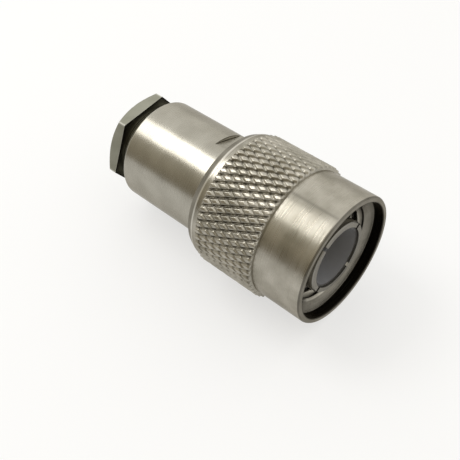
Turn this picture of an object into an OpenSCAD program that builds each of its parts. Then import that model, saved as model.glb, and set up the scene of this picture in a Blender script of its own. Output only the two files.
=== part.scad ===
// Threaded coaxial cable plug, clamp type, lying on its side with the mouth towards +X.
// The origin is the centre of the coupling nut's mouth. Stations run back from the mouth, along -X.

/* [Coupling nut] */
// Diameter of the smooth collar in front of the knurl
collar_d = 14.4; // [13.8:0.1:15]
// Length of the smooth collar
collar_length = 5.8; // [5:0.1:7]
// Diameter over the knurl's crests
knurl_d = 15.3; // [15.1:0.1:16.4]
// Length of the knurled band
knurl_length = 7.5; // [6:0.1:7.8]
// Number of diamonds round the band
knurl_count = 54; // [36:1:60]
// Number of half-diamond rows along the band
knurl_rows = 8; // [5:1:10]
// Depth of the knurl's grooves
knurl_depth = 0.34; // [0.2:0.02:0.4]
// Share of a diamond's half width that is flat on top
knurl_flat = 0.28; // [0.1:0.02:0.4]
// Length over which the knurl rises at each end of the band
knurl_ramp = 0.45; // [0.3:0.05:0.7]
// Diameter of the smooth bead behind the knurl
bead_d = 14.8; // [14.6:0.1:15.2]
// Length of the bead
bead_length = 0.65; // [0.4:0.05:1]
// Length of the bevel from the bead to the nut's rear face
rear_bevel = 0.85; // [0.5:0.05:1.2]
// Diameter of the nut's rear face
nut_rear_d = 14; // [13.4:0.1:14.4]
// Bevel round the mouth's outer edge
mouth_bevel = 0.15; // [0.1:0.05:0.5]
// Diameter of the recess in the mouth
mouth_d = 13.2; // [12.8:0.1:13.4]
// Depth of the recess in the mouth
mouth_depth = 1.15; // [0.8:0.05:1.4]
// Length of the cone that leads from the recess to the thread
lead_length = 0.5; // [0.4:0.05:0.9]
// Major diameter of the coupling thread
thread_major_d = 11.11; // [11:0.01:11.3]
// Minor diameter of the coupling thread, to which the nut is bored
thread_minor_d = 10.2; // [10:0.05:10.5]
// Depth of the threaded bore, from the mouth
thread_depth = 8; // [7:0.1:8.4]
// Length of the relief behind the thread
relief_length = 1.9; // [1.6:0.1:2.2]
// Depth of the counterbore in the nut's rear face
rear_bore_depth = 1.15; // [0.8:0.05:1.4]

/* [Contacts and insulators] */
// Outside diameter of the spring sleeve
contact_d = 8.1; // [8:0.05:8.5]
// Wall of the spring fingers
finger_wall = 0.6; // [0.5:0.05:0.75]
// Distance of the finger tips behind the mouth
finger_inset = 0.8; // [0.6:0.1:2]
// Number of slots in the spring sleeve
slot_count = 4; // [3:1:8]
// Turn of the slots about the axis, from straight up
slot_turn = 60; // [0:1:90]
// Width of each slot
slot_width = 0.4; // [0.2:0.05:0.6]
// Length of each slot
slot_length = 6.2; // [4:0.1:6.6]
// Step from the fingers down to the sleeve's waist, inside the gasket
waist_step = 0.1; // [0.05:0.05:0.15]
// Step from the sleeve's waist down to its root in the body
root_step = 0.1; // [0.1:0.05:0.2]
// Length of the sleeve's root in the body
root_length = 3.2; // [2.6:0.1:3.4]
// Thickness of the gasket round the sleeve's waist
mating_gasket_t = 1.1; // [0.9:0.1:1.3]
// Inset of the front insulator behind the finger tips
insulator_inset = 0.2; // [0.1:0.05:0.8]
// Diameter of the insulator's front socket
socket_d = 6.4; // [5:0.1:6.5]
// Depth of the insulator's front socket
socket_depth = 5; // [4:0.1:6]
// Diameter of the centre contact's pin
pin_d = 1.35; // [1.2:0.05:1.5]
// Distance of the pin's point behind the mouth
pin_inset = 3.3; // [3:0.1:4]
// Diameter of the centre contact's collar
pin_collar_d = 2.2; // [1.8:0.1:2.6]
// Length of the centre contact's solder barrel
barrel_length = 2; // [1.7:0.1:2.4]
// Diameter of the solder bore
solder_d = 1; // [0.8:0.05:1.1]
// Thickness of the rear insulator
rear_insulator_t = 1.6; // [1.2:0.1:1.8]

/* [Body] */
// Diameter of the neck that the coupling nut turns on
neck_d = 10; // [9.8:0.05:10.1]
// Diameter of the body behind the nut
body_d = 11.75; // [11.4:0.05:12.2]
// Length of the body behind its shoulder
tail_length = 12.15; // [11.4:0.05:12.6]
// Distance across the two wrench flats
flats_width = 11; // [10.7:0.05:11.3]
// Length of the wrench flats, from the body's shoulder
flats_length = 3.2; // [2.4:0.1:4]
// Turn of the wrench flats about the axis, from straight up
flats_turn = 25; // [0:1:90]
// Thickness of the web between the two insulators
body_web = 2; // [1.6:0.1:2.4]
// Radial width of the retaining ring
ring_width = 0.9; // [0.8:0.05:1]
// Thickness of the retaining ring
ring_t = 0.7; // [0.5:0.05:0.9]
// Gap in the retaining ring
ring_gap = 1.6; // [0.8:0.1:3]

/* [Cable clamp] */
// Major diameter of the clamp nut's thread
clamp_thread_d = 9.525; // [9.4:0.025:9.7]
// Distance across the clamp nut's flats
hex_af = 10.1; // [9.9:0.1:11]
// Thickness of the clamp nut's hexagon
hex_length = 1.5; // [1.2:0.1:3]
// Diameter of the bevelled circle on the hexagon's rear face
hex_face_d = 10.4; // [9.4:0.1:10.8]
// Length of that bevel, measured at the corners
hex_bevel = 0.6; // [0.4:0.05:0.8]
// Length of the clamp nut's threaded shank
shank_length = 5.1; // [4.2:0.05:6]
// Diameter of the cable entry
cable_d = 5.5; // [5:0.1:5.8]
// Countersink at the cable entry
entry_bevel = 0.5; // [0.3:0.05:0.7]
// Thickness of the slip washer
washer_t = 0.6; // [0.4:0.05:0.8]
// Radial clearance of the slip washer round the cable
washer_clear = 0.3; // [0.2:0.05:0.4]
// Length of the cable gasket
gasket_length = 3; // [2.6:0.1:3.4]
// Length that the gasket gives when the clamp nut is tightened
gasket_squeeze = 1.2; // [0.6:0.1:1.4]
// Length of the braid clamp, without its wedge
ferrule_length = 1.9; // [1.6:0.1:2.2]
// Length of the braid clamp's wedge, which enters the gasket
wedge_length = 0.8; // [0.5:0.1:1]
// Bore of the braid clamp
braid_d = 3.8; // [3.4:0.1:4.2]

/* [Clearances] */
// Radial clearance of turning fits
run_gap = 0.04; // [0.02:0.01:0.06]
// Radial clearance of located fits
seat_gap = 0.02; // [0.01:0.01:0.04]
// Free gap between pieces that move past each other
free_gap = 0.15; // [0.1:0.01:0.2]

/* [Hidden] */
$fn = 96;
// Overshoot of cutters past the faces they open
cut = 0.5;

// Stations of the coupling nut, back from the mouth
knurl_start = collar_length;
knurl_end = knurl_start + knurl_length;
bead_end = knurl_end + bead_length;
nut_length = bead_end + rear_bevel;
web_front = thread_depth + relief_length;
web_rear = nut_length - rear_bore_depth;
// Radial room over the thread's crests, in the relief and at the lead-in
relief_step = 0.1;
lead_step = 0.05;
relief_r = thread_major_d / 2 + relief_step;
lead_r = thread_major_d / 2 + lead_step;
rear_bore_r = body_d / 2 + free_gap;
// The knurl drum's skin stands this far over the core inside it and over the bead
drum_gap = 0.03;

// Stations of the body
neck_front = web_front - free_gap;
shoulder = web_rear + free_gap;
body_end = shoulder + tail_length;
root_end = neck_front + root_length;
// Flange of the front insulator, behind the sleeve's root
flange_t = 0.5;
web_start = root_end + flange_t;
waist_front = neck_front - mating_gasket_t - free_gap;
web_end = web_start + body_web;

// Retaining ring, half in the body's groove and half in the nut's
ring_mid = (web_front + web_rear) / 2;
groove_slack = 0.05;
groove_depth = ring_width / 2 + groove_slack;
ring_in_r = neck_d / 2 - groove_depth + seat_gap;
ring_out_r = ring_in_r + ring_width;
nut_groove_r = ring_out_r + free_gap / 2;
groove_half = ring_t / 2 + groove_slack;
nut_groove_half = ring_t / 2 + free_gap;

// Spring sleeve and what it holds
finger_r = contact_d / 2;
sleeve_bore_r = finger_r - finger_wall;
waist_r = finger_r - waist_step;
root_r = waist_r - root_step;
// Bevel on the finger tips
tip_bevel = 0.1;
insulator_front = finger_inset + insulator_inset;
insulator_r = sleeve_bore_r - seat_gap;
// Step from the front insulator down to its spigot in the body's web
spigot_step = 0.3;
spigot_r = insulator_r - spigot_step;
// Collar, point and solder barrel of the centre contact
collar_t = 0.5;
insulator_end = web_end - collar_t;
pin_r = pin_d / 2;
pin_point = 0.9;
pin_tip_r = 0.2;
pin_hole_r = pin_r + seat_gap;
barrel_wall = 0.35;
barrel_r = solder_d / 2 + barrel_wall;
barrel_floor = 0.4;
solder_depth = barrel_length - barrel_floor;
sight_d = 0.5;

// Stack in the cable clamp, front to rear
cavity_step = 0.14;
cavity_r = clamp_thread_d / 2 - cavity_step;
stack_r = cavity_r - seat_gap;
stack_front = web_end;
ferrule_front = stack_front + rear_insulator_t;
gasket_front = ferrule_front + ferrule_length;
washer_front = gasket_front + gasket_length;
shank_front = washer_front + washer_t;
hex_front = shank_front + shank_length;
plug_end = hex_front + hex_length;
thread_runout = 0.4;
thread_front = washer_front - gasket_squeeze - thread_runout;
thread_r = clamp_thread_d / 2;
shank_r = thread_r - run_gap;
cable_r = cable_d / 2;
braid_r = braid_d / 2;
// Radial grip of the gasket and of the ferrule's cup on the cable
gasket_grip = 0.05;
jacket_grip = 0.1;
gasket_bore_r = cable_r - gasket_grip;
washer_bore_r = cable_r + washer_clear;
jacket_r = cable_r - jacket_grip;
ferrule_land = gasket_front - ferrule_length / 3;
ferrule_nose_r = (braid_r + stack_r) / 2;
wedge_mid_r = (jacket_r + stack_r) / 2;
// Flat land on each side of the wedge
wedge_land = 0.3;
wedge_half = (stack_r - jacket_r) / 2 - wedge_land;
entry_r = cable_r + entry_bevel;
// Turn of the hexagon that sets a flat upward
hex_turn = 30;

nickel = [0.73, 0.71, 0.66];
gland_nickel = [0.66, 0.66, 0.61];
gold = [0.86, 0.68, 0.34];
grey_ptfe = [0.4, 0.4, 0.41];
rubber = [0.16, 0.16, 0.16];

// Lays a piece that is drawn about Z, with stations upward, along the plug's axis
module laid() {
    rotate([0, -90, 0]) children();
}

// Solid turned from a profile of [radius, station] points
module turned(profile) {
    laid() rotate_extrude() polygon(profile);
}

// Plain ring between two stations
module ring(in_r, out_r, front, rear) {
    turned([[in_r, front], [out_r, front], [out_r, rear], [in_r, rear]]);
}

// Diamond knurl: a drum whose skin is a lattice of flat-topped pyramids.
// Lattice sites alternate between groove crossings and crests, all round and along the band.
sites = 2 * knurl_count;
valley_r = knurl_d / 2 - knurl_depth;
crest_r = knurl_d / 2;
bead_r = bead_d / 2;
row_length = (knurl_length - 2 * knurl_ramp) / (knurl_rows - 1);

function row_station(k) =
    k <= 0 ? knurl_start
    : k >= knurl_rows + 1 ? knurl_end
    : knurl_start + knurl_ramp + (k - 1) * row_length;

function between_rows(k) =
    row_station(floor(k)) + (k - floor(k)) * (row_station(floor(k) + 1) - row_station(floor(k)));

function lattice_point(m, k, r) =
    [r * cos(m * 360 / sites), r * sin(m * 360 / sites), between_rows(k)];

function site(m, k) = k * sites + (m + sites) % sites;
function is_crest(m, k) = (m + k) % 2 == 1;
function crest_of(m, k) = sites * (knurl_rows + 2) + 4 * ((k - 1) * knurl_count + floor(m / 2));

// Four sides and the flat top of the pyramid at one crest
function pyramid(m, k) =
    let (c = crest_of(m, k), rim = [site(m - 1, k), site(m, k + 1), site(m + 1, k), site(m, k - 1)])
    [
        for (i = [0:3])
            each [
                [rim[i], rim[(i + 1) % 4], c + (i + 1) % 4],
                [rim[i], c + (i + 1) % 4, c + i]
            ],
        [c, c + 1, c + 2],
        [c, c + 2, c + 3]
    ];

module knurl_drum() {
    last = knurl_rows + 1;
    grid = [
        for (k = [0:last])
            for (m = [0:sites - 1])
                lattice_point(m, k, k == last ? bead_r + drum_gap : valley_r)
    ];
    tops = [
        for (k = [1:knurl_rows])
            for (m = [0:sites - 1])
                if (is_crest(m, k))
                    each [
                        lattice_point(m - knurl_flat, k, crest_r),
                        lattice_point(m, k + knurl_flat, crest_r),
                        lattice_point(m + knurl_flat, k, crest_r),
                        lattice_point(m, k - knurl_flat, crest_r)
                    ]
    ];
    skin = [
        for (k = [1:knurl_rows])
            for (m = [0:sites - 1])
                if (is_crest(m, k))
                    each pyramid(m, k)
    ];
    front_edge = [
        for (m = [0:sites - 1])
            if (is_crest(m, 0))
                each [
                    [site(m - 1, 0), site(m, 1), site(m, 0)],
                    [site(m, 1), site(m + 1, 0), site(m, 0)]
                ]
    ];
    rear_edge = [
        for (m = [0:sites - 1])
            if (is_crest(m, last))
                each [
                    [site(m + 1, last), site(m, last - 1), site(m, last)],
                    [site(m, last - 1), site(m - 1, last), site(m, last)]
                ]
    ];
    front_cap = [for (m = [0:sites - 1]) site(m, 0)];
    rear_cap = [for (m = [0:sites - 1]) site(sites - 1 - m, last)];
    laid()
        polyhedron(
            points = concat(grid, tops),
            faces = concat(skin, front_edge, rear_edge, [front_cap, rear_cap])
        );
}

module coupling_nut() {
    collar_r = collar_d / 2;
    core_r = valley_r - drum_gap;
    color(nickel)
        difference() {
            union() {
                knurl_drum();
                turned([
                    [0, 0],
                    [collar_r - mouth_bevel, 0],
                    [collar_r, mouth_bevel],
                    [collar_r, knurl_start],
                    [core_r, knurl_start],
                    [core_r, knurl_end],
                    [bead_r, knurl_end],
                    [bead_r, bead_end],
                    [nut_rear_d / 2, nut_length],
                    [0, nut_length]
                ]);
            }
            turned([
                [0, -cut],
                [mouth_d / 2, -cut],
                [mouth_d / 2, mouth_depth],
                [lead_r, mouth_depth + lead_length],
                [thread_minor_d / 2, mouth_depth + lead_length + lead_r - thread_minor_d / 2],
                [thread_minor_d / 2, thread_depth],
                [relief_r, thread_depth],
                [relief_r, web_front],
                [neck_d / 2 + run_gap, web_front],
                [neck_d / 2 + run_gap, ring_mid - nut_groove_half],
                [nut_groove_r, ring_mid - nut_groove_half],
                [nut_groove_r, ring_mid + nut_groove_half],
                [neck_d / 2 + run_gap, ring_mid + nut_groove_half],
                [neck_d / 2 + run_gap, web_rear],
                [rear_bore_r, web_rear],
                [rear_bore_r, nut_length + cut],
                [0, nut_length + cut]
            ]);
        }
}

module outer_contact() {
    color(nickel)
        difference() {
            turned([
                [sleeve_bore_r, finger_inset],
                [finger_r - tip_bevel, finger_inset],
                [finger_r, finger_inset + tip_bevel],
                [finger_r, waist_front],
                [waist_r, waist_front],
                [waist_r, neck_front],
                [root_r, neck_front],
                [root_r, root_end],
                [sleeve_bore_r, root_end]
            ]);
            laid()
                for (i = [0:slot_count - 1])
                    rotate([0, 0, slot_turn + i * 360 / slot_count])
                        translate([0, -slot_width / 2, finger_inset - cut])
                            cube([contact_d, slot_width, slot_length + cut]);
        }
}

module mating_gasket() {
    color(rubber)
        ring(waist_r + seat_gap, relief_r - 2 * free_gap, neck_front - mating_gasket_t, neck_front);
}

module retaining_ring() {
    color(nickel)
        difference() {
            ring(ring_in_r, ring_out_r, ring_mid - ring_t / 2, ring_mid + ring_t / 2);
            laid()
                translate([0, -ring_gap / 2, ring_mid - ring_t])
                    cube([neck_d, ring_gap, 2 * ring_t]);
        }
}

module plug_body() {
    groove_r = neck_d / 2 - groove_depth;
    color(nickel)
        difference() {
            turned([
                [0, neck_front],
                [neck_d / 2, neck_front],
                [neck_d / 2, ring_mid - groove_half],
                [groove_r, ring_mid - groove_half],
                [groove_r, ring_mid + groove_half],
                [neck_d / 2, ring_mid + groove_half],
                [neck_d / 2, shoulder],
                [body_d / 2, shoulder],
                [body_d / 2, body_end],
                [0, body_end]
            ]);
            turned([
                [0, neck_front - cut],
                [root_r + seat_gap, neck_front - cut],
                [root_r + seat_gap, web_start],
                [spigot_r + seat_gap, web_start],
                [spigot_r + seat_gap, web_end],
                [cavity_r, web_end],
                [cavity_r, thread_front],
                [thread_r, thread_front],
                [thread_r, body_end + cut],
                [0, body_end + cut]
            ]);
            laid()
                for (side = [0, 180])
                    rotate([0, 0, flats_turn + side])
                        translate([flats_width / 2, -body_d / 2, shoulder - cut])
                            cube([body_d, body_d, flats_length + cut]);
        }
}

module front_insulator() {
    color(grey_ptfe)
        turned([
            [socket_d / 2, insulator_front],
            [insulator_r, insulator_front],
            [insulator_r, root_end],
            [root_r, root_end],
            [root_r, web_start],
            [spigot_r, web_start],
            [spigot_r, insulator_end],
            [pin_hole_r, insulator_end],
            [pin_hole_r, insulator_front + socket_depth],
            [socket_d / 2, insulator_front + socket_depth]
        ]);
}

module centre_contact() {
    barrel_end = web_end + barrel_length;
    color(gold)
        difference() {
            turned([
                [0, pin_inset],
                [pin_tip_r, pin_inset],
                [pin_r, pin_inset + pin_point],
                [pin_r, insulator_end],
                [pin_collar_d / 2, insulator_end],
                [pin_collar_d / 2, web_end],
                [barrel_r, web_end],
                [barrel_r, barrel_end],
                [0, barrel_end]
            ]);
            laid()
                translate([0, 0, barrel_end - solder_depth])
                    cylinder(d = solder_d, h = solder_depth + cut);
            laid()
                translate([0, 0, barrel_end - solder_depth + sight_d])
                    rotate([0, 90, 0])
                        cylinder(d = sight_d, h = pin_collar_d);
        }
}

module rear_insulator() {
    color(grey_ptfe)
        ring(barrel_r + seat_gap, stack_r, stack_front, ferrule_front);
}

module braid_clamp() {
    color(nickel)
        turned([
            [braid_r, ferrule_front],
            [ferrule_nose_r, ferrule_front],
            [stack_r, ferrule_land],
            [stack_r, gasket_front],
            [wedge_mid_r + wedge_half, gasket_front],
            [wedge_mid_r, gasket_front + wedge_length],
            [wedge_mid_r - wedge_half, gasket_front],
            [jacket_r, gasket_front],
            [jacket_r, ferrule_land],
            [braid_r, ferrule_land]
        ]);
}

module cable_gasket() {
    color(rubber)
        turned([
            [gasket_bore_r, gasket_front],
            [wedge_mid_r - wedge_half, gasket_front],
            [wedge_mid_r, gasket_front + wedge_length],
            [wedge_mid_r + wedge_half, gasket_front],
            [stack_r, gasket_front],
            [stack_r, washer_front],
            [gasket_bore_r, washer_front]
        ]);
}

module slip_washer() {
    color(nickel)
        ring(washer_bore_r, stack_r, washer_front, shank_front);
}

module clamp_nut() {
    corner_r = hex_af / sqrt(3);
    bevel_slope = hex_bevel / (corner_r - hex_face_d / 2);
    color(gland_nickel)
        difference() {
            union() {
                ring(0, shank_r, shank_front, hex_front + cut);
                intersection() {
                    laid()
                        translate([0, 0, hex_front])
                            rotate([0, 0, hex_turn])
                                cylinder(r = corner_r, h = hex_length, $fn = 6);
                    turned([
                        [0, hex_front - cut],
                        [corner_r + cut, hex_front - cut],
                        [corner_r + cut, plug_end - hex_bevel - bevel_slope * cut],
                        [hex_face_d / 2, plug_end],
                        [0, plug_end]
                    ]);
                }
            }
            turned([
                [0, shank_front - cut],
                [cable_r, shank_front - cut],
                [cable_r, plug_end - entry_bevel],
                [entry_r, plug_end],
                [entry_r, plug_end + cut],
                [0, plug_end + cut]
            ]);
        }
}

coupling_nut();
outer_contact();
mating_gasket();
retaining_ring();
plug_body();
front_insulator();
centre_contact();
rear_insulator();
braid_clamp();
cable_gasket();
slip_washer();
clamp_nut();
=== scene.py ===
import math

import bpy
import numpy as np
from mathutils import Matrix, Vector


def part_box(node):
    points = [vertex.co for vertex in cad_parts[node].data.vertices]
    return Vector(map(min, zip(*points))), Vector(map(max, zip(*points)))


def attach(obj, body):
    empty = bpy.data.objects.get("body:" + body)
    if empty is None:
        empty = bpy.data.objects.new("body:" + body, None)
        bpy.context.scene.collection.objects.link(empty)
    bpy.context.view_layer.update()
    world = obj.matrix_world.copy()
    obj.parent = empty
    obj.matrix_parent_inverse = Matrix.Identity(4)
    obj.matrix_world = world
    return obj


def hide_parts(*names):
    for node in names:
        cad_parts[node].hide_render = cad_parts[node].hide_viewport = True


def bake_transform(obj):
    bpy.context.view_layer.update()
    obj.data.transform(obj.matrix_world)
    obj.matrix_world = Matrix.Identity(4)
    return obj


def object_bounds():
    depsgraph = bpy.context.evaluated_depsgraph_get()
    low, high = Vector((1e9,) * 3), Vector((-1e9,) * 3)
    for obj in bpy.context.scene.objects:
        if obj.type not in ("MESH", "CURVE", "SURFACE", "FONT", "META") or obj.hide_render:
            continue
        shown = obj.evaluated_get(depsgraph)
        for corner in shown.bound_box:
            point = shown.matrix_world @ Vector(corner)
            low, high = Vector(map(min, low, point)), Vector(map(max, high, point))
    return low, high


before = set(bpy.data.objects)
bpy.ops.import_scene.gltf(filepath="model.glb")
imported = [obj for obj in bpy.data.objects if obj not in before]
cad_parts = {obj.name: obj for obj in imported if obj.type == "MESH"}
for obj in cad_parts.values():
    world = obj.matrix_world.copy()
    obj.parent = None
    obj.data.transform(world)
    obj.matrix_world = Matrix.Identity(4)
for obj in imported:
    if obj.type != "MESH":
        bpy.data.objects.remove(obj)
cad_low, cad_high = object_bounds()

# Lengths are in millimetres and become metres when a mesh is made.
# A station is a distance behind the plug's mouth, so it lies at x = -station.
# Angles go round the plug's axis, from +Y towards +Z.
# A ring's light-and-wear value is 0 on plain plate, 1 where the plate is lightened, as rubbed edges
# and as painted highlight, and -1 where it is darkened nearly to black as painted shade.
MM = 0.001
INCH = 25.4
TURN = 2 * math.pi


def node_span(node):
    """(front station, rear station, largest radius) of a CAD node, in millimetres."""
    low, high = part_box(node)
    return -high.x / MM, -low.x / MM, high.z / MM


# Sizes read from the frame
_, NUT_REAR, CREST_R = node_span("coupling_nut")
NECK_FRONT, BODY_REAR, BODY_R = node_span("plug_body")
SHANK_FRONT, PLUG_END, HEX_HALF = node_span("clamp_nut")
GASKET_FRONT, GASKET_REAR, GASKET_R = node_span("cable_gasket")
FLOOR_Z = cad_low.z

# Coupling nut, outside. The collar and bead reach under the knurled band by a lap.
COLLAR_R = 7.2
COLLAR_END = 5.8
KNURL_END = 13.3
BEAD_R = 7.4
BEAD_END = 13.95
REAR_R = 7.0
RIM_LENGTH = 0.2
RIM_STEP = 0.13
RIM_ROUND = 0.12
CORE_STEP = 0.1
SHELL_LAP = 0.02

# Coupling nut, inside. A groove is its front station, rear station and radius.
MOUTH_R = 6.6
MOUTH_DEPTH = 1.15
LEAD_R = 5.605
LEAD_END = 1.65
THREAD_MINOR_R = 5.1
THREAD_MAJOR_R = 5.555
THREAD_PITCH = INCH / 28
THREAD_END = 8.0
THREAD_INSET = 0.05
RELIEF_R = 5.655
WEB_FRONT = 9.9
WEB_REAR = 13.65
WEB_BORE_R = 5.04
RING_GROOVE = (11.275, 12.275, 5.495)
REAR_BORE_R = 6.025

# Painted shade on the coupling nut's shell, the bands that it lies in, and a faint painted dark
# reflection line along the collar, in degrees
RIM_FACE_BAND = 0.01
RIM_EDGE_BAND = 0.1
LEAD_BAND = 0.01
BEAD_BAND = 0.1
REAR_BAND = 0.05
MOUTH_SHADE = -1.0
RIM_INSIDE_SHADE = -0.9
RIM_FACE_SHADE = -0.45
RIM_EDGE_SHADE = -0.65
LEAD_SHADE = -0.45
BEAD_SHADE = 0.15
REAR_SHADE = 0.4
DARK_REFLECTION_ANGLE = 96.2
DARK_REFLECTION_HALF = 1.3
DARK_REFLECTION_STRENGTH = 0.3

# Knurled band. The end rows are the first rings' distances from either end.
KNURL_COUNT = 54
KNURL_ROWS = 8
KNURL_RAMP = 0.45
KNURL_DEPTH = 0.26
KNURL_FLAT = 0.5
KNURL_RINGS = 81
KNURL_END_ROWS = (0.0, 0.04, 0.09, 0.15)
KNURL_INSET = 0.22
SIDE_GROOVE = 0.82
END_BEVEL = 3.0
BEAD_SINK = 0.02
BAND_WALL = 0.25
RIDGE_BLEND = 0.08
VALLEY_ROUND = 0.03
CREST_BLEND = 0.10
PIT_START = 0.3
PIT_SPAN = 0.35
# Crests and bevelled ends get painted highlight; valleys and pits get painted shade
BEVEL_HIGHLIGHT = 0.1
VALLEY_SHADE = -0.06
CREST_HIGHLIGHT = 0.14
PIT_SHADE = 0.7

# Plug body, with its wrench flats in degrees
NECK_R = 5.0
SHOULDER = 13.8
FLAT_HALF = 5.5
FLAT_END = 17.0
FLAT_ANGLES = (65.0, 245.0)
FLAT_BEFORE = 0.05
FLAT_BEYOND = 0.04
# Painted shade at the foot and top of each flat's end wall, painted highlight on its middle
FLAT_FOOT_SHADE = -1.0
FLAT_WALL_HIGHLIGHT = 1.0
FLAT_LIP_SHADE = -0.8
LEAST_FACING = 0.5
ROOT_BORE_R = 3.87
WEB_START = 13.45
PLUG_BORE_R = 3.15
WEB_END = 15.45
CAVITY_R = 4.6225
CLAMP_THREAD_FRONT = 20.35
CLAMP_BORE_R = 4.7625
BODY_GROOVE = (11.375, 12.175, 4.5)

# Clamp nut
HEX_FRONT = 27.65
HEX_FACE_R = 5.05
HEX_BEVEL = 0.55
HEX_BEVEL_RINGS = 18
HEX_OVERCUT = 0.1
# Painted shade, nearly black, on the hexagon's front face in the gap before the body
HEX_FRONT_SHADE = -1.0
# Share of the rounded edges' rubbed wear and painted light that the hexagon keeps; its corners get a
# painted highlight
HEX_ROUNDING_SHARE = 0.4
HEX_FACE_BAND = 0.005
CORNER_BAND = 0.015
SHANK_R = 4.7225
SHANK_INSET = 0.02
SHANK_RELIEF = 0.35
CLAMP_PITCH = INCH / 32
CLAMP_DEPTH = 0.46
CLAMP_FADE = 0.3
CABLE_R = 2.75
ENTRY_BEVEL = 0.5

# Cable gasket
GASKET_BORE_R = 2.7
WEDGE_DEPTH = 0.8
WEDGE_LAND = 0.3
JACKET_R = 2.65
GIVE_ROWS = 9

# Threads: where a flank starts, how far it goes, the painted shade in the root and the painted
# highlight that grows up the flank
FLANK_START = 0.16
FLANK_SPAN = 0.62
THREAD_RINGS = 10
THREAD_ROOT_SHADE = -0.9
THREAD_HIGHLIGHT_GAIN = 1.1
CLAMP_RINGS = 12
CLAMP_ROOT_SHADE = -0.8
CLAMP_HIGHLIGHT_GAIN = 1.2

# Meshes
SEGMENTS = 384
KNURL_SEGMENTS = 16 * KNURL_COUNT
GASKET_SEGMENTS = SEGMENTS // 4
SHARP_DEG = 35
KNURL_SHARP_DEG = 60
# Length of a square step, so that no two of its rows share a station
STEP = 0.001
# Most of an edge that a rounding may take
ROUNDING_SHARE = 0.4
# Share of a rounding at which a further row keeps the flat beyond it flat
HOLD = 1.2


def rounded(corners, steps=4):
    """[station, radius, value] rows of a closed loop of (station, radius, rounding) corners.
    The value is 1 on an outward edge, lightened as rubbed plate and painted highlight, -1 in an
    inward one, darkened as painted shade, and 0 between them."""
    count = len(corners)
    area = sum(
        corners[i][0] * corners[(i + 1) % count][1] - corners[(i + 1) % count][0] * corners[i][1]
        for i in range(count)
    )
    rows = []
    for i, (station, radius, rounding) in enumerate(corners):
        here = np.array([station, radius])
        before = np.array(corners[i - 1][:2]) - here
        after = np.array(corners[(i + 1) % count][:2]) - here
        if rounding <= 0:
            rows.append([station, radius, 0.0])
            continue
        turn = before[1] * after[0] - before[0] * after[1]
        # Inward corners get painted shade; outward edges are lightened as rubbed plate and painted
        # highlight
        painted_light_and_wear = 1.0 if turn * area > 0 else -1.0
        before *= min(rounding / np.linalg.norm(before), ROUNDING_SHARE)
        after *= min(rounding / np.linalg.norm(after), ROUNDING_SHARE)
        rows.append([*(here + HOLD * before), 0.0])
        for step in range(steps + 1):
            t = step / steps
            point = here + (1 - t) ** 2 * before + t * t * after
            rows.append([*point, painted_light_and_wear if 0 < step < steps else 0.0])
        rows.append([*(here + HOLD * after), 0.0])
    return rows


def as_rings(rows, segments):
    """Rings of (station, radii, values) from [station, radius, value] rows, the value being painted
    light and shade with rubbed wear.
    """
    return [(s, np.full(segments, r), np.full(segments, w)) for s, r, w in rows]


def angles(segments):
    """Angles round the axis, one for each segment."""
    return np.arange(segments) * TURN / segments


def revolve(name, rings, body, material, sharp_deg=SHARP_DEG):
    """A closed skin through rings about the X axis, the last ring joined to the first."""
    segments = len(rings[0][1])
    theta = angles(segments)
    points = np.concatenate([
        np.stack(
            [np.full(segments, -station), radii * np.cos(theta), radii * np.sin(theta)], axis=1
        )
        for station, radii, _ in rings
    ]) * MM
    first = np.arange(len(rings))[:, None] * segments + np.arange(segments)
    ahead = np.roll(first, -1, axis=1)
    faces = np.stack(
        [first, ahead, np.roll(ahead, -1, axis=0), np.roll(first, -1, axis=0)], axis=-1
    )
    mesh = bpy.data.meshes.new(name)
    mesh.from_pydata(points.tolist(), [], faces.reshape(-1, 4).tolist())
    painted_light_and_wear = mesh.attributes.new("painted_light_and_wear", "FLOAT", "POINT")
    painted_light_and_wear.data.foreach_set("value", np.concatenate([w for _, _, w in rings]).astype(np.float32))
    mesh.update()
    volume = sum(p.center.dot(p.normal) * p.area for p in mesh.polygons)
    if volume < 0:
        mesh.flip_normals()
    mesh.shade_smooth()
    mesh.set_sharp_from_angle(angle=math.radians(sharp_deg))
    mesh.materials.append(material)
    piece = bpy.data.objects.new(name, mesh)
    bpy.context.scene.collection.objects.link(piece)
    if body:
        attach(piece, body)
    return piece


def thread_height(station, theta, pitch):
    """Height of a right-hand thread, from 0 in the groove to 1 on the crest."""
    phase = (-station / pitch - theta / TURN) % 1.0
    ramp = 1 - np.abs(2 * phase - 1)
    return np.clip((ramp - FLANK_START) / FLANK_SPAN, 0.0, 1.0)


# Shader nodes

def set_inputs(tree, node, values):
    """Set a node's inputs, each to a value or by a link from another node's output."""
    for key, value in values.items():
        if isinstance(value, bpy.types.NodeSocket):
            tree.links.new(value, node.inputs[key])
        else:
            node.inputs[key].default_value = value


def add_node(tree, kind, values):
    node = tree.nodes.new(kind)
    set_inputs(tree, node, values)
    return node


def map_range(tree, value, start, end, low=0.0, high=1.0):
    """Socket of a value mapped from start..end to low..high and held within them."""
    node = add_node(tree, "ShaderNodeMapRange", {
        "Value": value, "From Min": start, "From Max": end, "To Min": low, "To Max": high,
    })
    return node.outputs["Result"]


def mix_colour(tree, share, a, b):
    """Socket of colour a turned to colour b by a share."""
    node = tree.nodes.new("ShaderNodeMix")
    node.data_type = "RGBA"
    set_inputs(tree, node, {"Factor": share, "A": a, "B": b})
    return node.outputs["Result"]


def noise(tree, place, scale, detail):
    """Socket of a noise between 0 and 1."""
    node = add_node(
        tree, "ShaderNodeTexNoise", {"Vector": place, "Scale": scale, "Detail": detail}
    )
    return node.outputs["Fac"]


def calculate(tree, operation, a, b):
    """Socket of a sum, product or the like of two numbers."""
    node = tree.nodes.new("ShaderNodeMath")
    node.operation = operation
    set_inputs(tree, node, {0: a, 1: b})
    return node.outputs["Value"]


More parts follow.
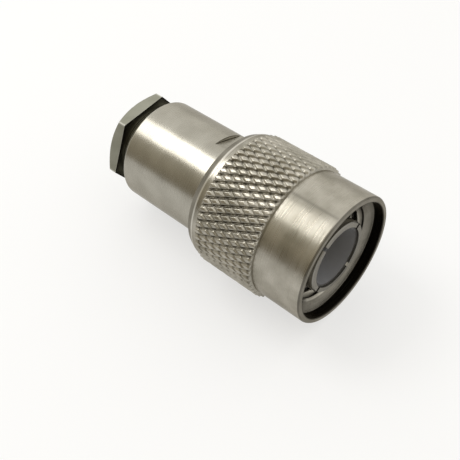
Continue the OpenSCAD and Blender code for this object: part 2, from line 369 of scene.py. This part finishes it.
def vector_node(tree, operation, *values):
    node = tree.nodes.new("ShaderNodeVectorMath")
    node.operation = operation
    set_inputs(tree, node, dict(enumerate(values)))
    return node


def new_material(name):
    """A material's data, its node tree and its shader."""
    material = bpy.data.materials.new(name)
    material.use_nodes = True
    return material, material.node_tree, material.node_tree.nodes["Principled BSDF"]


# Materials. Noise scales are per metre, and depths are in metres.
EDGE_TINT = (0.7, 0.68, 0.64, 1)
# Colours that the light-and-wear value mixes in: near black for painted shade, pale for rubbed edges
# and painted highlight
SHADE_COLOUR = (0.02, 0.017, 0.013, 1)
HIGHLIGHT_AND_RUB_COLOUR = (0.9, 0.88, 0.82, 1)
HIGHLIGHT_AND_RUB_SHARE = 0.55
CLOUD_SCALE = 420.0
CLOUD_DETAIL = 4.0
CLOUD_RANGE = (0.36, 0.64)
MARK_SCALE = (9000.0, 260.0, 260.0)
MARK_DETAIL = 3.0
MARK_RANGE = (0.3, 0.7)
MARK_TURN = 0.25
MARK_DEPTH = 0.00002
MOTTLE_DETAIL = 5.0
MOTTLE_ROUGH = 0.1
MOTTLE_DEPTH = 0.00001
# Near-black painted shade over the front insulator's front, in front of the x below, with a soft
# edge
FRONT_SHADE_COLOUR = (0.03, 0.028, 0.025, 1)
FRONT_SHADE_EDGE = 0.00005
INSULATOR_SHADE_X = -0.00105


def nickel(name, colour, tint, roughness, streak=0.25, aniso=0.5, grain=0.12):
    """Plated metal with turning marks and a clouded tint, lightened where its light-and-wear value
    is above 0, as rubbed edges and painted highlight, and darkened where it is below 0, as painted
    shade.
    The marks follow x plus radius, so they run round a cylinder and in circles on an end face."""
    material, tree, shader = new_material(name)
    place = tree.nodes.new("ShaderNodeTexCoord").outputs["Object"]
    tangent = tree.nodes.new("ShaderNodeTangent")
    tangent.direction_type = "RADIAL"
    tangent.axis = "X"

    cloud = map_range(tree, noise(tree, place, CLOUD_SCALE, CLOUD_DETAIL), *CLOUD_RANGE)
    plate = mix_colour(tree, cloud, (*colour, 1), (*tint, 1))
    attribute = tree.nodes.new("ShaderNodeAttribute")
    attribute.attribute_name = "painted_light_and_wear"
    painted_light_and_wear = attribute.outputs["Fac"]
    # Below 0 the plate is darkened as painted shade; above 0 it is lightened as rubbed edges and
    # painted highlight
    painted_shade = map_range(tree, painted_light_and_wear, 0.0, -1.0)
    plate = mix_colour(tree, painted_shade, plate, SHADE_COLOUR)
    highlight_and_rub = map_range(tree, painted_light_and_wear, 0.0, 1.0, high=HIGHLIGHT_AND_RUB_SHARE)
    plate = mix_colour(tree, highlight_and_rub, plate, HIGHLIGHT_AND_RUB_COLOUR)

    split = add_node(tree, "ShaderNodeSeparateXYZ", {"Vector": place})
    radial = vector_node(tree, "MULTIPLY", place, (0, 1, 1))
    radius = vector_node(tree, "LENGTH", radial.outputs["Vector"])
    track = add_node(tree, "ShaderNodeCombineXYZ", {
        "X": calculate(tree, "ADD", split.outputs["X"], radius.outputs["Value"]),
        "Y": split.outputs["Y"],
        "Z": split.outputs["Z"],
    })
    stretch = add_node(
        tree, "ShaderNodeMapping", {"Vector": track.outputs["Vector"], "Scale": MARK_SCALE}
    )
    marks = noise(tree, stretch.outputs["Vector"], 1.0, MARK_DETAIL)
    bump = add_node(
        tree, "ShaderNodeBump", {"Strength": streak, "Distance": MARK_DEPTH, "Height": marks}
    )
    set_inputs(tree, shader, {
        "Base Color": plate,
        "Metallic": 1.0,
        "Roughness": map_range(
            tree, marks, *MARK_RANGE, low=roughness - grain / 2, high=roughness + grain / 2
        ),
        "Normal": bump.outputs["Normal"],
        "Specular Tint": EDGE_TINT,
        "Anisotropic": aniso,
        "Anisotropic Rotation": MARK_TURN,
        "Tangent": tangent.outputs["Tangent"],
    })
    return material


def mottled(name, colour, tint, roughness, scale, shade_x=None):
    """Plain moulded or cut material with a fine clouded surface.
    Where an x in metres is given as its last argument, it is darkened in front of that x with
    painted shade."""
    material, tree, shader = new_material(name)
    place = tree.nodes.new("ShaderNodeTexCoord").outputs["Object"]
    cloud = noise(tree, place, scale, MOTTLE_DETAIL)
    skin = mix_colour(tree, cloud, (*colour, 1), (*tint, 1))
    if shade_x is not None:
        split = add_node(tree, "ShaderNodeSeparateXYZ", {"Vector": place})
        # Painted shade in front of the given x
        front = map_range(tree, split.outputs["X"], shade_x, shade_x + FRONT_SHADE_EDGE)
        skin = mix_colour(tree, front, skin, FRONT_SHADE_COLOUR)
    bump = add_node(tree, "ShaderNodeBump", {"Distance": MOTTLE_DEPTH, "Height": cloud})
    set_inputs(tree, shader, {
        "Base Color": skin,
        "Roughness": map_range(
            tree, cloud, 0.0, 1.0, low=roughness - MOTTLE_ROUGH, high=roughness + MOTTLE_ROUGH
        ),
        "Normal": bump.outputs["Normal"],
    })
    return material


NUT_METAL = nickel(
    "nut_nickel", (0.41, 0.386, 0.332), (0.29, 0.272, 0.226), 0.30, streak=0.6
)
BODY_METAL = nickel(
    "body_nickel", (0.385, 0.367, 0.318), (0.33, 0.313, 0.268), 0.27,
    streak=0.02, aniso=0.4, grain=0.03,
)
CONTACT_METAL = nickel("contact_nickel", (0.24, 0.23, 0.205), (0.19, 0.182, 0.162), 0.28)
GLAND_METAL = nickel(
    "gland_nickel", (0.295, 0.292, 0.242), (0.243, 0.241, 0.195), 0.34, streak=0.2, aniso=0.2
)
PIN_GOLD = nickel("pin_gold", (0.86, 0.66, 0.30), (0.76, 0.55, 0.22), 0.22)
PTFE = mottled(
    "ptfe", (0.25, 0.25, 0.26), (0.21, 0.21, 0.22), 0.5, 900.0, shade_x=INSULATOR_SHADE_X
)
RUBBER = mottled("rubber", (0.035, 0.035, 0.034), (0.06, 0.058, 0.055), 0.7, 2500.0)

CAD_MATERIALS = {
    "outer_contact": CONTACT_METAL,
    "mating_gasket": RUBBER,
    "retaining_ring": CONTACT_METAL,
    "front_insulator": PTFE,
    "centre_contact": PIN_GOLD,
    "rear_insulator": PTFE,
    "braid_clamp": BODY_METAL,
    "slip_washer": CONTACT_METAL,
}
for node_name, node_material in CAD_MATERIALS.items():
    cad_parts[node_name].data.materials.clear()
    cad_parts[node_name].data.materials.append(node_material)


# Coupling nut: a turned shell and the knurled band round it

def shell_painted_light(station, radius, painted_light_and_wear):
    """Painted shade on the shell: a nearly black mouth wall, a darkened rim and lead, and a bead
    darkened more towards the rear; elsewhere the value passes through.
    """
    if radius == MOUTH_R and station >= RIM_LENGTH:
        return MOUTH_SHADE
    if station < RIM_LENGTH and radius < MOUTH_R + RIM_ROUND:
        return RIM_INSIDE_SHADE
    if station < RIM_FACE_BAND:
        return RIM_FACE_SHADE
    if station < RIM_LENGTH:
        return RIM_EDGE_SHADE
    if station < RIM_LENGTH + RIM_EDGE_BAND:
        return 0.0
    if station > KNURL_END and radius > REAR_R - REAR_BAND:
        return painted_light_and_wear - (BEAD_SHADE if station < BEAD_END - BEAD_BAND else REAR_SHADE)
    if MOUTH_DEPTH <= station <= LEAD_END + LEAD_BAND and radius < MOUTH_R:
        return LEAD_SHADE
    return painted_light_and_wear


def coupling_shell():
    core_r = COLLAR_R - CORE_STEP
    groove_front, groove_rear, groove_r = RING_GROOVE
    corners = [
        (0.0, MOUTH_R, RIM_ROUND),
        (0.0, COLLAR_R - RIM_STEP, 0.04),
        (RIM_LENGTH, COLLAR_R, 0.08),
        (COLLAR_END + SHELL_LAP, COLLAR_R, 0.0),
        (COLLAR_END + 2 * SHELL_LAP, core_r, 0.0),
        (KNURL_END - 2 * SHELL_LAP, core_r, 0.0),
        (KNURL_END - SHELL_LAP, BEAD_R, 0.0),
        (BEAD_END, BEAD_R, 0.15),
        (NUT_REAR, REAR_R, 0.1),
        (NUT_REAR, REAR_BORE_R, 0.06),
        (WEB_REAR, REAR_BORE_R, 0.05),
        (WEB_REAR, WEB_BORE_R, 0.05),
        (groove_rear, WEB_BORE_R, 0.0),
        (groove_rear, groove_r, 0.0),
        (groove_front, groove_r, 0.0),
        (groove_front, WEB_BORE_R, 0.0),
        (WEB_FRONT, WEB_BORE_R, 0.05),
        (WEB_FRONT, RELIEF_R, 0.1),
        (THREAD_END, RELIEF_R, 0.0),
        (THREAD_END - STEP, THREAD_MINOR_R, 0.0),
        (LEAD_END + STEP, LEAD_R, 0.0),
        (MOUTH_DEPTH, MOUTH_R, 0.05),
        (RIM_LENGTH, MOUTH_R, 0.0),
    ]
    rows = [(s, r, shell_painted_light(s, r, w)) for s, r, w in rounded(corners)]
    theta = angles(SEGMENTS)
    # A faint dark line along the collar at a fixed angle, a painted reflection
    dark_reflection = DARK_REFLECTION_STRENGTH * np.exp(-((np.degrees(theta) - DARK_REFLECTION_ANGLE) / DARK_REFLECTION_HALF) ** 2)
    rings = [
        (s, r, w - dark_reflection if RIM_LENGTH < s < KNURL_END and r[0] == COLLAR_R else w)
        for s, r, w in as_rings(rows, SEGMENTS)
    ]
    # The thread takes the place of the row at its minor radius, behind a lead of 45 degrees
    thread = []
    count = int((THREAD_END - LEAD_END) / THREAD_PITCH * THREAD_RINGS)
    for station in np.linspace(THREAD_END - THREAD_INSET, LEAD_END + THREAD_INSET, count):
        height = thread_height(station, theta, THREAD_PITCH)
        radii = THREAD_MAJOR_R - (THREAD_MAJOR_R - THREAD_MINOR_R) * height
        radii = np.maximum(radii, LEAD_R - (station - LEAD_END))
        # Painted shade in the thread's root and painted highlight up its flanks
        thread.append((station, radii, THREAD_ROOT_SHADE + THREAD_HIGHLIGHT_GAIN * height))
    split = next(
        i for i, (station, radius, _) in enumerate(rows)
        if radius == THREAD_MINOR_R and abs(station - THREAD_END) < 2 * STEP
    )
    rings = rings[:split] + thread + rings[split + 1:]
    piece = revolve("coupling_nut_shell", rings, "coupling_nut", NUT_METAL)
    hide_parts("coupling_nut")


def soft_least(a, b, blend):
    """The smaller of two heights, with the crease between them rounded over blend."""
    gap = np.clip(0.5 + 0.5 * (b - a) / blend, 0.0, 1.0)
    return b + (a - b) * gap - blend * gap * (1 - gap)


def knurl_band():
    """Flat-topped diamonds on a lattice whose sites are crests where row plus column is odd.
    The lattice runs on past both ends of the band, where a bevel cuts it off."""
    theta = angles(KNURL_SEGMENTS)
    column = theta / TURN * 2 * KNURL_COUNT
    valley_r = CREST_R - KNURL_DEPTH
    pitch = (KNURL_END - COLLAR_END - 2 * KNURL_RAMP) / (KNURL_ROWS - 1)
    ends = np.array(KNURL_END_ROWS)
    stations = np.concatenate([
        COLLAR_END + ends,
        np.linspace(COLLAR_END + KNURL_INSET, KNURL_END - KNURL_INSET, KNURL_RINGS),
        KNURL_END - ends[::-1],
    ])
    rings = []
    for station in stations:
        row = 1 + (station - COLLAR_END - KNURL_RAMP) / pitch
        across = (column + row - 1) / 2
        along = (column - row - 1) / 2
        side_a = 1 - 2 * np.abs(across - np.round(across))
        side_b = 1 - 2 * np.abs(along - np.round(along))
        side_a = 1 - SIDE_GROOVE * (1 - side_a)
        rise = np.maximum(soft_least(side_a, side_b, RIDGE_BLEND), 0.0)
        rise = np.sqrt(rise ** 2 + VALLEY_ROUND ** 2) - VALLEY_ROUND
        rise = soft_least(rise / (1 - KNURL_FLAT), np.ones_like(rise), CREST_BLEND)
        rise = np.clip(rise, 0.0, 1.0)
        radii = valley_r + KNURL_DEPTH * rise
        front_cut = COLLAR_R + END_BEVEL * (station - COLLAR_END)
        rear_cut = BEAD_R - BEAD_SINK + END_BEVEL * (KNURL_END - station)
        limit = min(front_cut, rear_cut)
        # Painted highlight on the crests and bevelled ends, painted shade in the valleys and deeper
        # in the pits
        pit = np.clip(((1 - side_a) * (1 - side_b) - PIT_START) / PIT_SPAN, 0.0, 1.0)
        painted_light_and_wear = CREST_HIGHLIGHT * rise + VALLEY_SHADE - PIT_SHADE * pit
        painted_light_and_wear = np.where(radii > limit, BEVEL_HIGHLIGHT, painted_light_and_wear)
        rings.append((station, np.minimum(radii, limit), painted_light_and_wear))
    inner_r = valley_r - BAND_WALL
    rings += as_rings([(KNURL_END, inner_r, 0.0), (COLLAR_END, inner_r, 0.0)], KNURL_SEGMENTS)
    piece = revolve(
        "coupling_nut_knurl", rings, "coupling_nut", NUT_METAL, sharp_deg=KNURL_SHARP_DEG
    )


# Plug body with its two wrench flats

def cut_flat(station, radii, painted_light_and_wear, theta):
    """Radii and light-and-wear values of a ring where a wrench flat faces theta = 0, up to the wall
    at its end. The foot and top of the end wall are darkened as painted shade and its middle is
    lightened as painted highlight.
    """
    facing = np.cos(theta)
    cut = facing * radii > FLAT_HALF
    flat_r = np.where(cut, FLAT_HALF / np.maximum(facing, LEAST_FACING), radii)
    if station < FLAT_END:
        return flat_r, painted_light_and_wear
    if station == FLAT_END:
        return flat_r, np.where(cut, FLAT_FOOT_SHADE, painted_light_and_wear)
    if station < FLAT_END + STEP:
        return (flat_r + radii) / 2, np.where(cut, FLAT_WALL_HIGHLIGHT, painted_light_and_wear)
    return radii, np.where(cut, FLAT_LIP_SHADE, painted_light_and_wear)


def plug_body():
    groove_front, groove_rear, groove_r = BODY_GROOVE
    corners = [
        (NECK_FRONT, ROOT_BORE_R, 0.05),
        (NECK_FRONT, NECK_R, 0.08),
        (groove_front, NECK_R, 0.0),
        (groove_front, groove_r, 0.0),
        (groove_rear, groove_r, 0.0),
        (groove_rear, NECK_R, 0.0),
        (SHOULDER, NECK_R, 0.05),
        (SHOULDER, BODY_R, 0.05),
        (FLAT_END - FLAT_BEFORE, BODY_R, 0.0),
        (FLAT_END, BODY_R, 0.0),
        (FLAT_END + STEP / 2, BODY_R, 0.0),
        (FLAT_END + STEP, BODY_R, 0.0),
        (FLAT_END + FLAT_BEYOND, BODY_R, 0.0),
        (BODY_REAR, BODY_R, 0.09),
        (BODY_REAR, CLAMP_BORE_R, 0.12),
        (CLAMP_THREAD_FRONT, CLAMP_BORE_R, 0.0),
        (CLAMP_THREAD_FRONT - STEP, CAVITY_R, 0.0),
        (WEB_END, CAVITY_R, 0.05),
        (WEB_END, PLUG_BORE_R, 0.05),
        (WEB_START, PLUG_BORE_R, 0.05),
        (WEB_START, ROOT_BORE_R, 0.05),
    ]
    theta = angles(SEGMENTS)
    outside_r = (NECK_R + BODY_R) / 2
    rings = []
    for station, radii, painted_light_and_wear in as_rings(rounded(corners), SEGMENTS):
        if SHOULDER <= station <= FLAT_END + STEP and radii[0] > outside_r:
            for flat_deg in FLAT_ANGLES:
                radii, painted_light_and_wear = cut_flat(station, radii, painted_light_and_wear, theta - math.radians(flat_deg))
        rings.append((station, radii, painted_light_and_wear))
    piece = revolve("plug_body_turned", rings, "plug", BODY_METAL)
    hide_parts("plug_body")


# Clamp nut: threaded shank and bevelled hexagon

def clamp_nut():
    theta = angles(SEGMENTS)
    to_flat = (theta - TURN / 4 + TURN / 12) % (TURN / 6) - TURN / 12
    hex_r = HEX_HALF / np.cos(to_flat)
    corner_r = HEX_HALF / math.cos(TURN / 12)
    # Painted highlight along the hexagon's corners
    corner_highlight = np.clip(1 - (corner_r - hex_r) / (CORNER_BAND * corner_r), 0.0, 1.0)
    over_r = corner_r + HEX_OVERCUT
    root_r = SHANK_R - CLAMP_DEPTH
    slope = HEX_BEVEL / (corner_r - HEX_FACE_R)
    bevel_start = PLUG_END - slope * (over_r - HEX_FACE_R)
    bevel = [
        (station, HEX_FACE_R + (PLUG_END - station) / slope, 0.0)
        for station in np.linspace(bevel_start, PLUG_END, HEX_BEVEL_RINGS)[:-1]
    ]
    corners = [
        (HEX_FRONT, root_r, 0.06),
        (HEX_FRONT, over_r, 0.04),
        *bevel,
        (PLUG_END, HEX_FACE_R, 0.06),
        (PLUG_END, CABLE_R + ENTRY_BEVEL, 0.05),
        (PLUG_END - ENTRY_BEVEL, CABLE_R, 0.05),
        (SHANK_FRONT, CABLE_R, 0.05),
        (SHANK_FRONT, root_r, 0.0),
    ]
    rings = []
    for station, radii, painted_light_and_wear in as_rings(rounded(corners), SEGMENTS):
        if station >= HEX_FRONT and radii[0] > SHANK_R:
            cut = radii > hex_r
            radii = np.where(cut, hex_r, radii)
            painted_light_and_wear = np.maximum(painted_light_and_wear * HEX_ROUNDING_SHARE, np.where(cut, corner_highlight, 0.0))
            # Painted shade, nearly black, on the front face in the gap before the body
            if station < HEX_FRONT + HEX_FACE_BAND:
                painted_light_and_wear = np.full(SEGMENTS, HEX_FRONT_SHADE)
        rings.append((station, radii, painted_light_and_wear))
    thread_end = HEX_FRONT - SHANK_RELIEF
    count = int((thread_end - SHANK_FRONT) / CLAMP_PITCH * CLAMP_RINGS)
    for station in np.linspace(SHANK_FRONT + SHANK_INSET, thread_end, count):
        from_end = min(thread_end - station, station - SHANK_FRONT)
        height = thread_height(station, theta, CLAMP_PITCH) * min(1.0, from_end / CLAMP_FADE)
        # Painted shade in the thread's root and painted highlight up its flanks
        painted_light_and_wear = CLAMP_ROOT_SHADE + CLAMP_HIGHLIGHT_GAIN * height
        rings.append((station, root_r + CLAMP_DEPTH * height, painted_light_and_wear))
    piece = revolve("clamp_nut_turned", rings, "clamp_nut", GLAND_METAL)
    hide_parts("clamp_nut")


# Cable gasket: a rubber sleeve with a wedged front and extra rows along its length, attached to no
# body

def cable_gasket():
    give_front = GASKET_FRONT + WEDGE_DEPTH
    give = np.linspace(give_front, GASKET_REAR, GIVE_ROWS)[:-1]
    corners = [
        (GASKET_FRONT, GASKET_BORE_R, 0.05),
        (GASKET_FRONT, JACKET_R + WEDGE_LAND, 0.0),
        (give_front, (JACKET_R + GASKET_R) / 2, 0.0),
        (GASKET_FRONT, GASKET_R - WEDGE_LAND, 0.0),
        (GASKET_FRONT, GASKET_R, 0.05),
        *((station, GASKET_R, 0.0) for station in give),
        (GASKET_REAR, GASKET_R, 0.05),
        (GASKET_REAR, GASKET_BORE_R, 0.05),
        *((station, GASKET_BORE_R, 0.0) for station in give[::-1]),
    ]
    rings = as_rings(rounded(corners), GASKET_SEGMENTS)
    piece = revolve("cable_gasket_rubber", rings, None, RUBBER)
    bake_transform(piece)
    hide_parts("cable_gasket")


coupling_shell()
knurl_band()
plug_body()
clamp_nut()
cable_gasket()

# Stage, in metres: a pale floor with a low cove, an overhead softbox and a soft surround.
# The cove's rows are radius and height. The surround's stops run from the near side to the far one.
COVE = ((0.3, 0.0), (1.3, 0.0), (1.42, 0.007), (1.5, 0.028), (1.54, 0.06), (1.55, 0.1))
COVE_SEGMENTS = 96
FLOOR_COLOUR = (0.86, 0.86, 0.86, 1)
FLOOR_ROUGHNESS = 0.9
FLOOR_WHITE_SHARE = 0.6
SURROUND = (
    (0.05, (0.25, 0.22, 0.165, 1)),
    (0.13, (0.47, 0.42, 0.325, 1)),
    (0.27, (0.62, 0.58, 0.48, 1)),
    (0.60, (1.2, 1.19, 1.15, 1)),
)
AIM = Vector((-PLUG_END / 2 * MM, 0, 0))


def floor_material():
    """Pale floor that keeps the plug's shadow and is part white to the camera and in reflections."""
    material, tree, shader = new_material("floor_white")
    set_inputs(tree, shader, {
        "Base Color": FLOOR_COLOUR, "Roughness": FLOOR_ROUGHNESS, "Specular IOR Level": 0.0,
    })
    white = add_node(tree, "ShaderNodeEmission", {"Color": (1, 1, 1, 1), "Strength": 1.0})
    path = tree.nodes.new("ShaderNodeLightPath").outputs
    seen = calculate(tree, "MAXIMUM", path["Is Camera Ray"], path["Is Transmission Ray"])
    seen = calculate(tree, "MAXIMUM", seen, path["Is Glossy Ray"])
    mix = add_node(tree, "ShaderNodeMixShader", {
        "Fac": calculate(tree, "MULTIPLY", seen, FLOOR_WHITE_SHARE),
        1: shader.outputs["BSDF"],
        2: white.outputs["Emission"],
    })
    set_inputs(tree, tree.nodes["Material Output"], {"Surface": mix.outputs["Shader"]})
    return material


def floor():
    """A disc under the plug with a low cove round it."""
    mesh = bpy.data.meshes.new("floor")
    points = [
        (radius * math.cos(turn), radius * math.sin(turn), FLOOR_Z + height)
        for radius, height in COVE
        for turn in angles(COVE_SEGMENTS)
    ]
    faces = [tuple(range(COVE_SEGMENTS))]
    for start in range(0, (len(COVE) - 1) * COVE_SEGMENTS, COVE_SEGMENTS):
        beyond = start + COVE_SEGMENTS
        for i in range(COVE_SEGMENTS):
            j = (i + 1) % COVE_SEGMENTS
            faces.append((start + i, beyond + i, beyond + j, start + j))
    mesh.from_pydata(points, [], faces)
    mesh.shade_smooth()
    mesh.materials.append(floor_material())
    piece = bpy.data.objects.new("floor", mesh)
    bpy.context.scene.collection.objects.link(piece)


def surround():
    """Soft studio surround: pale on the far side, darker and warmer on the near side."""
    world = bpy.data.worlds.new("surround")
    bpy.context.scene.world = world
    world.use_nodes = True
    tree = world.node_tree
    place = tree.nodes.new("ShaderNodeTexCoord").outputs["Generated"]
    split = add_node(tree, "ShaderNodeSeparateXYZ", {"Vector": place})
    ramp = add_node(
        tree, "ShaderNodeValToRGB", {"Fac": map_range(tree, split.outputs["Y"], -1.0, 1.0)}
    )
    stops = ramp.color_ramp.elements
    stops[0].position, stops[0].color = SURROUND[0]
    stops[1].position, stops[1].color = SURROUND[-1]
    for position, colour in SURROUND[1:-1]:
        stops.new(position).color = colour
    set_inputs(
        tree, tree.nodes["Background"], {"Color": ramp.outputs["Color"], "Strength": 1.0}
    )


def softbox(name, direction, distance, size_x, size_y, power):
    """A rectangular lamp aimed at the plug, with size_x along the plug and size_y across it."""
    light = bpy.data.lights.new(name, "AREA")
    light.shape = "RECTANGLE"
    light.size = size_x
    light.size_y = size_y
    light.energy = power
    lamp = bpy.data.objects.new(name, light)
    way = Vector(direction).normalized()
    lamp.location = AIM + way * distance
    along = (Vector((1, 0, 0)) - way.x * way).normalized()
    lamp.rotation_mode = "QUATERNION"
    lamp.rotation_quaternion = Matrix((along, way.cross(along), way)).transposed().to_quaternion()
    bpy.context.scene.collection.objects.link(lamp)


floor()
surround()
softbox(
    "overhead", (-0.545, -0.125, 0.83), distance=0.25, size_x=0.09, size_y=0.13, power=0.175
)

# Camera at the photograph's angle: its place in millimetres from the mouth's centre,
# and the directions that are right and up in its picture
IMAGE_SIZE = 460
FOCAL_PIXELS = 735.65
SENSOR_WIDTH = 36.0
CAMERA_PLACE = Vector((24.808, -35.36, 59.411))
CAMERA_RIGHT = Vector((0.73667, 0.66891, -0.09939))
CAMERA_UP = Vector((-0.47885, 0.61974, 0.6218))


def camera():
    lens = bpy.data.cameras.new("camera")
    lens.sensor_width = SENSOR_WIDTH
    lens.lens = SENSOR_WIDTH * FOCAL_PIXELS / IMAGE_SIZE
    lens.clip_start = MM
    shot = bpy.data.objects.new("camera", lens)
    right = CAMERA_RIGHT.normalized()
    up = (CAMERA_UP - CAMERA_UP.dot(right) * right).normalized()
    turn = Matrix((right, up, right.cross(up))).transposed()
    shot.matrix_world = Matrix.Translation(CAMERA_PLACE * MM) @ turn.to_4x4()
    bpy.context.scene.collection.objects.link(shot)
    bpy.context.scene.camera = shot


camera()
bpy.context.scene.view_settings.view_transform = "Standard"
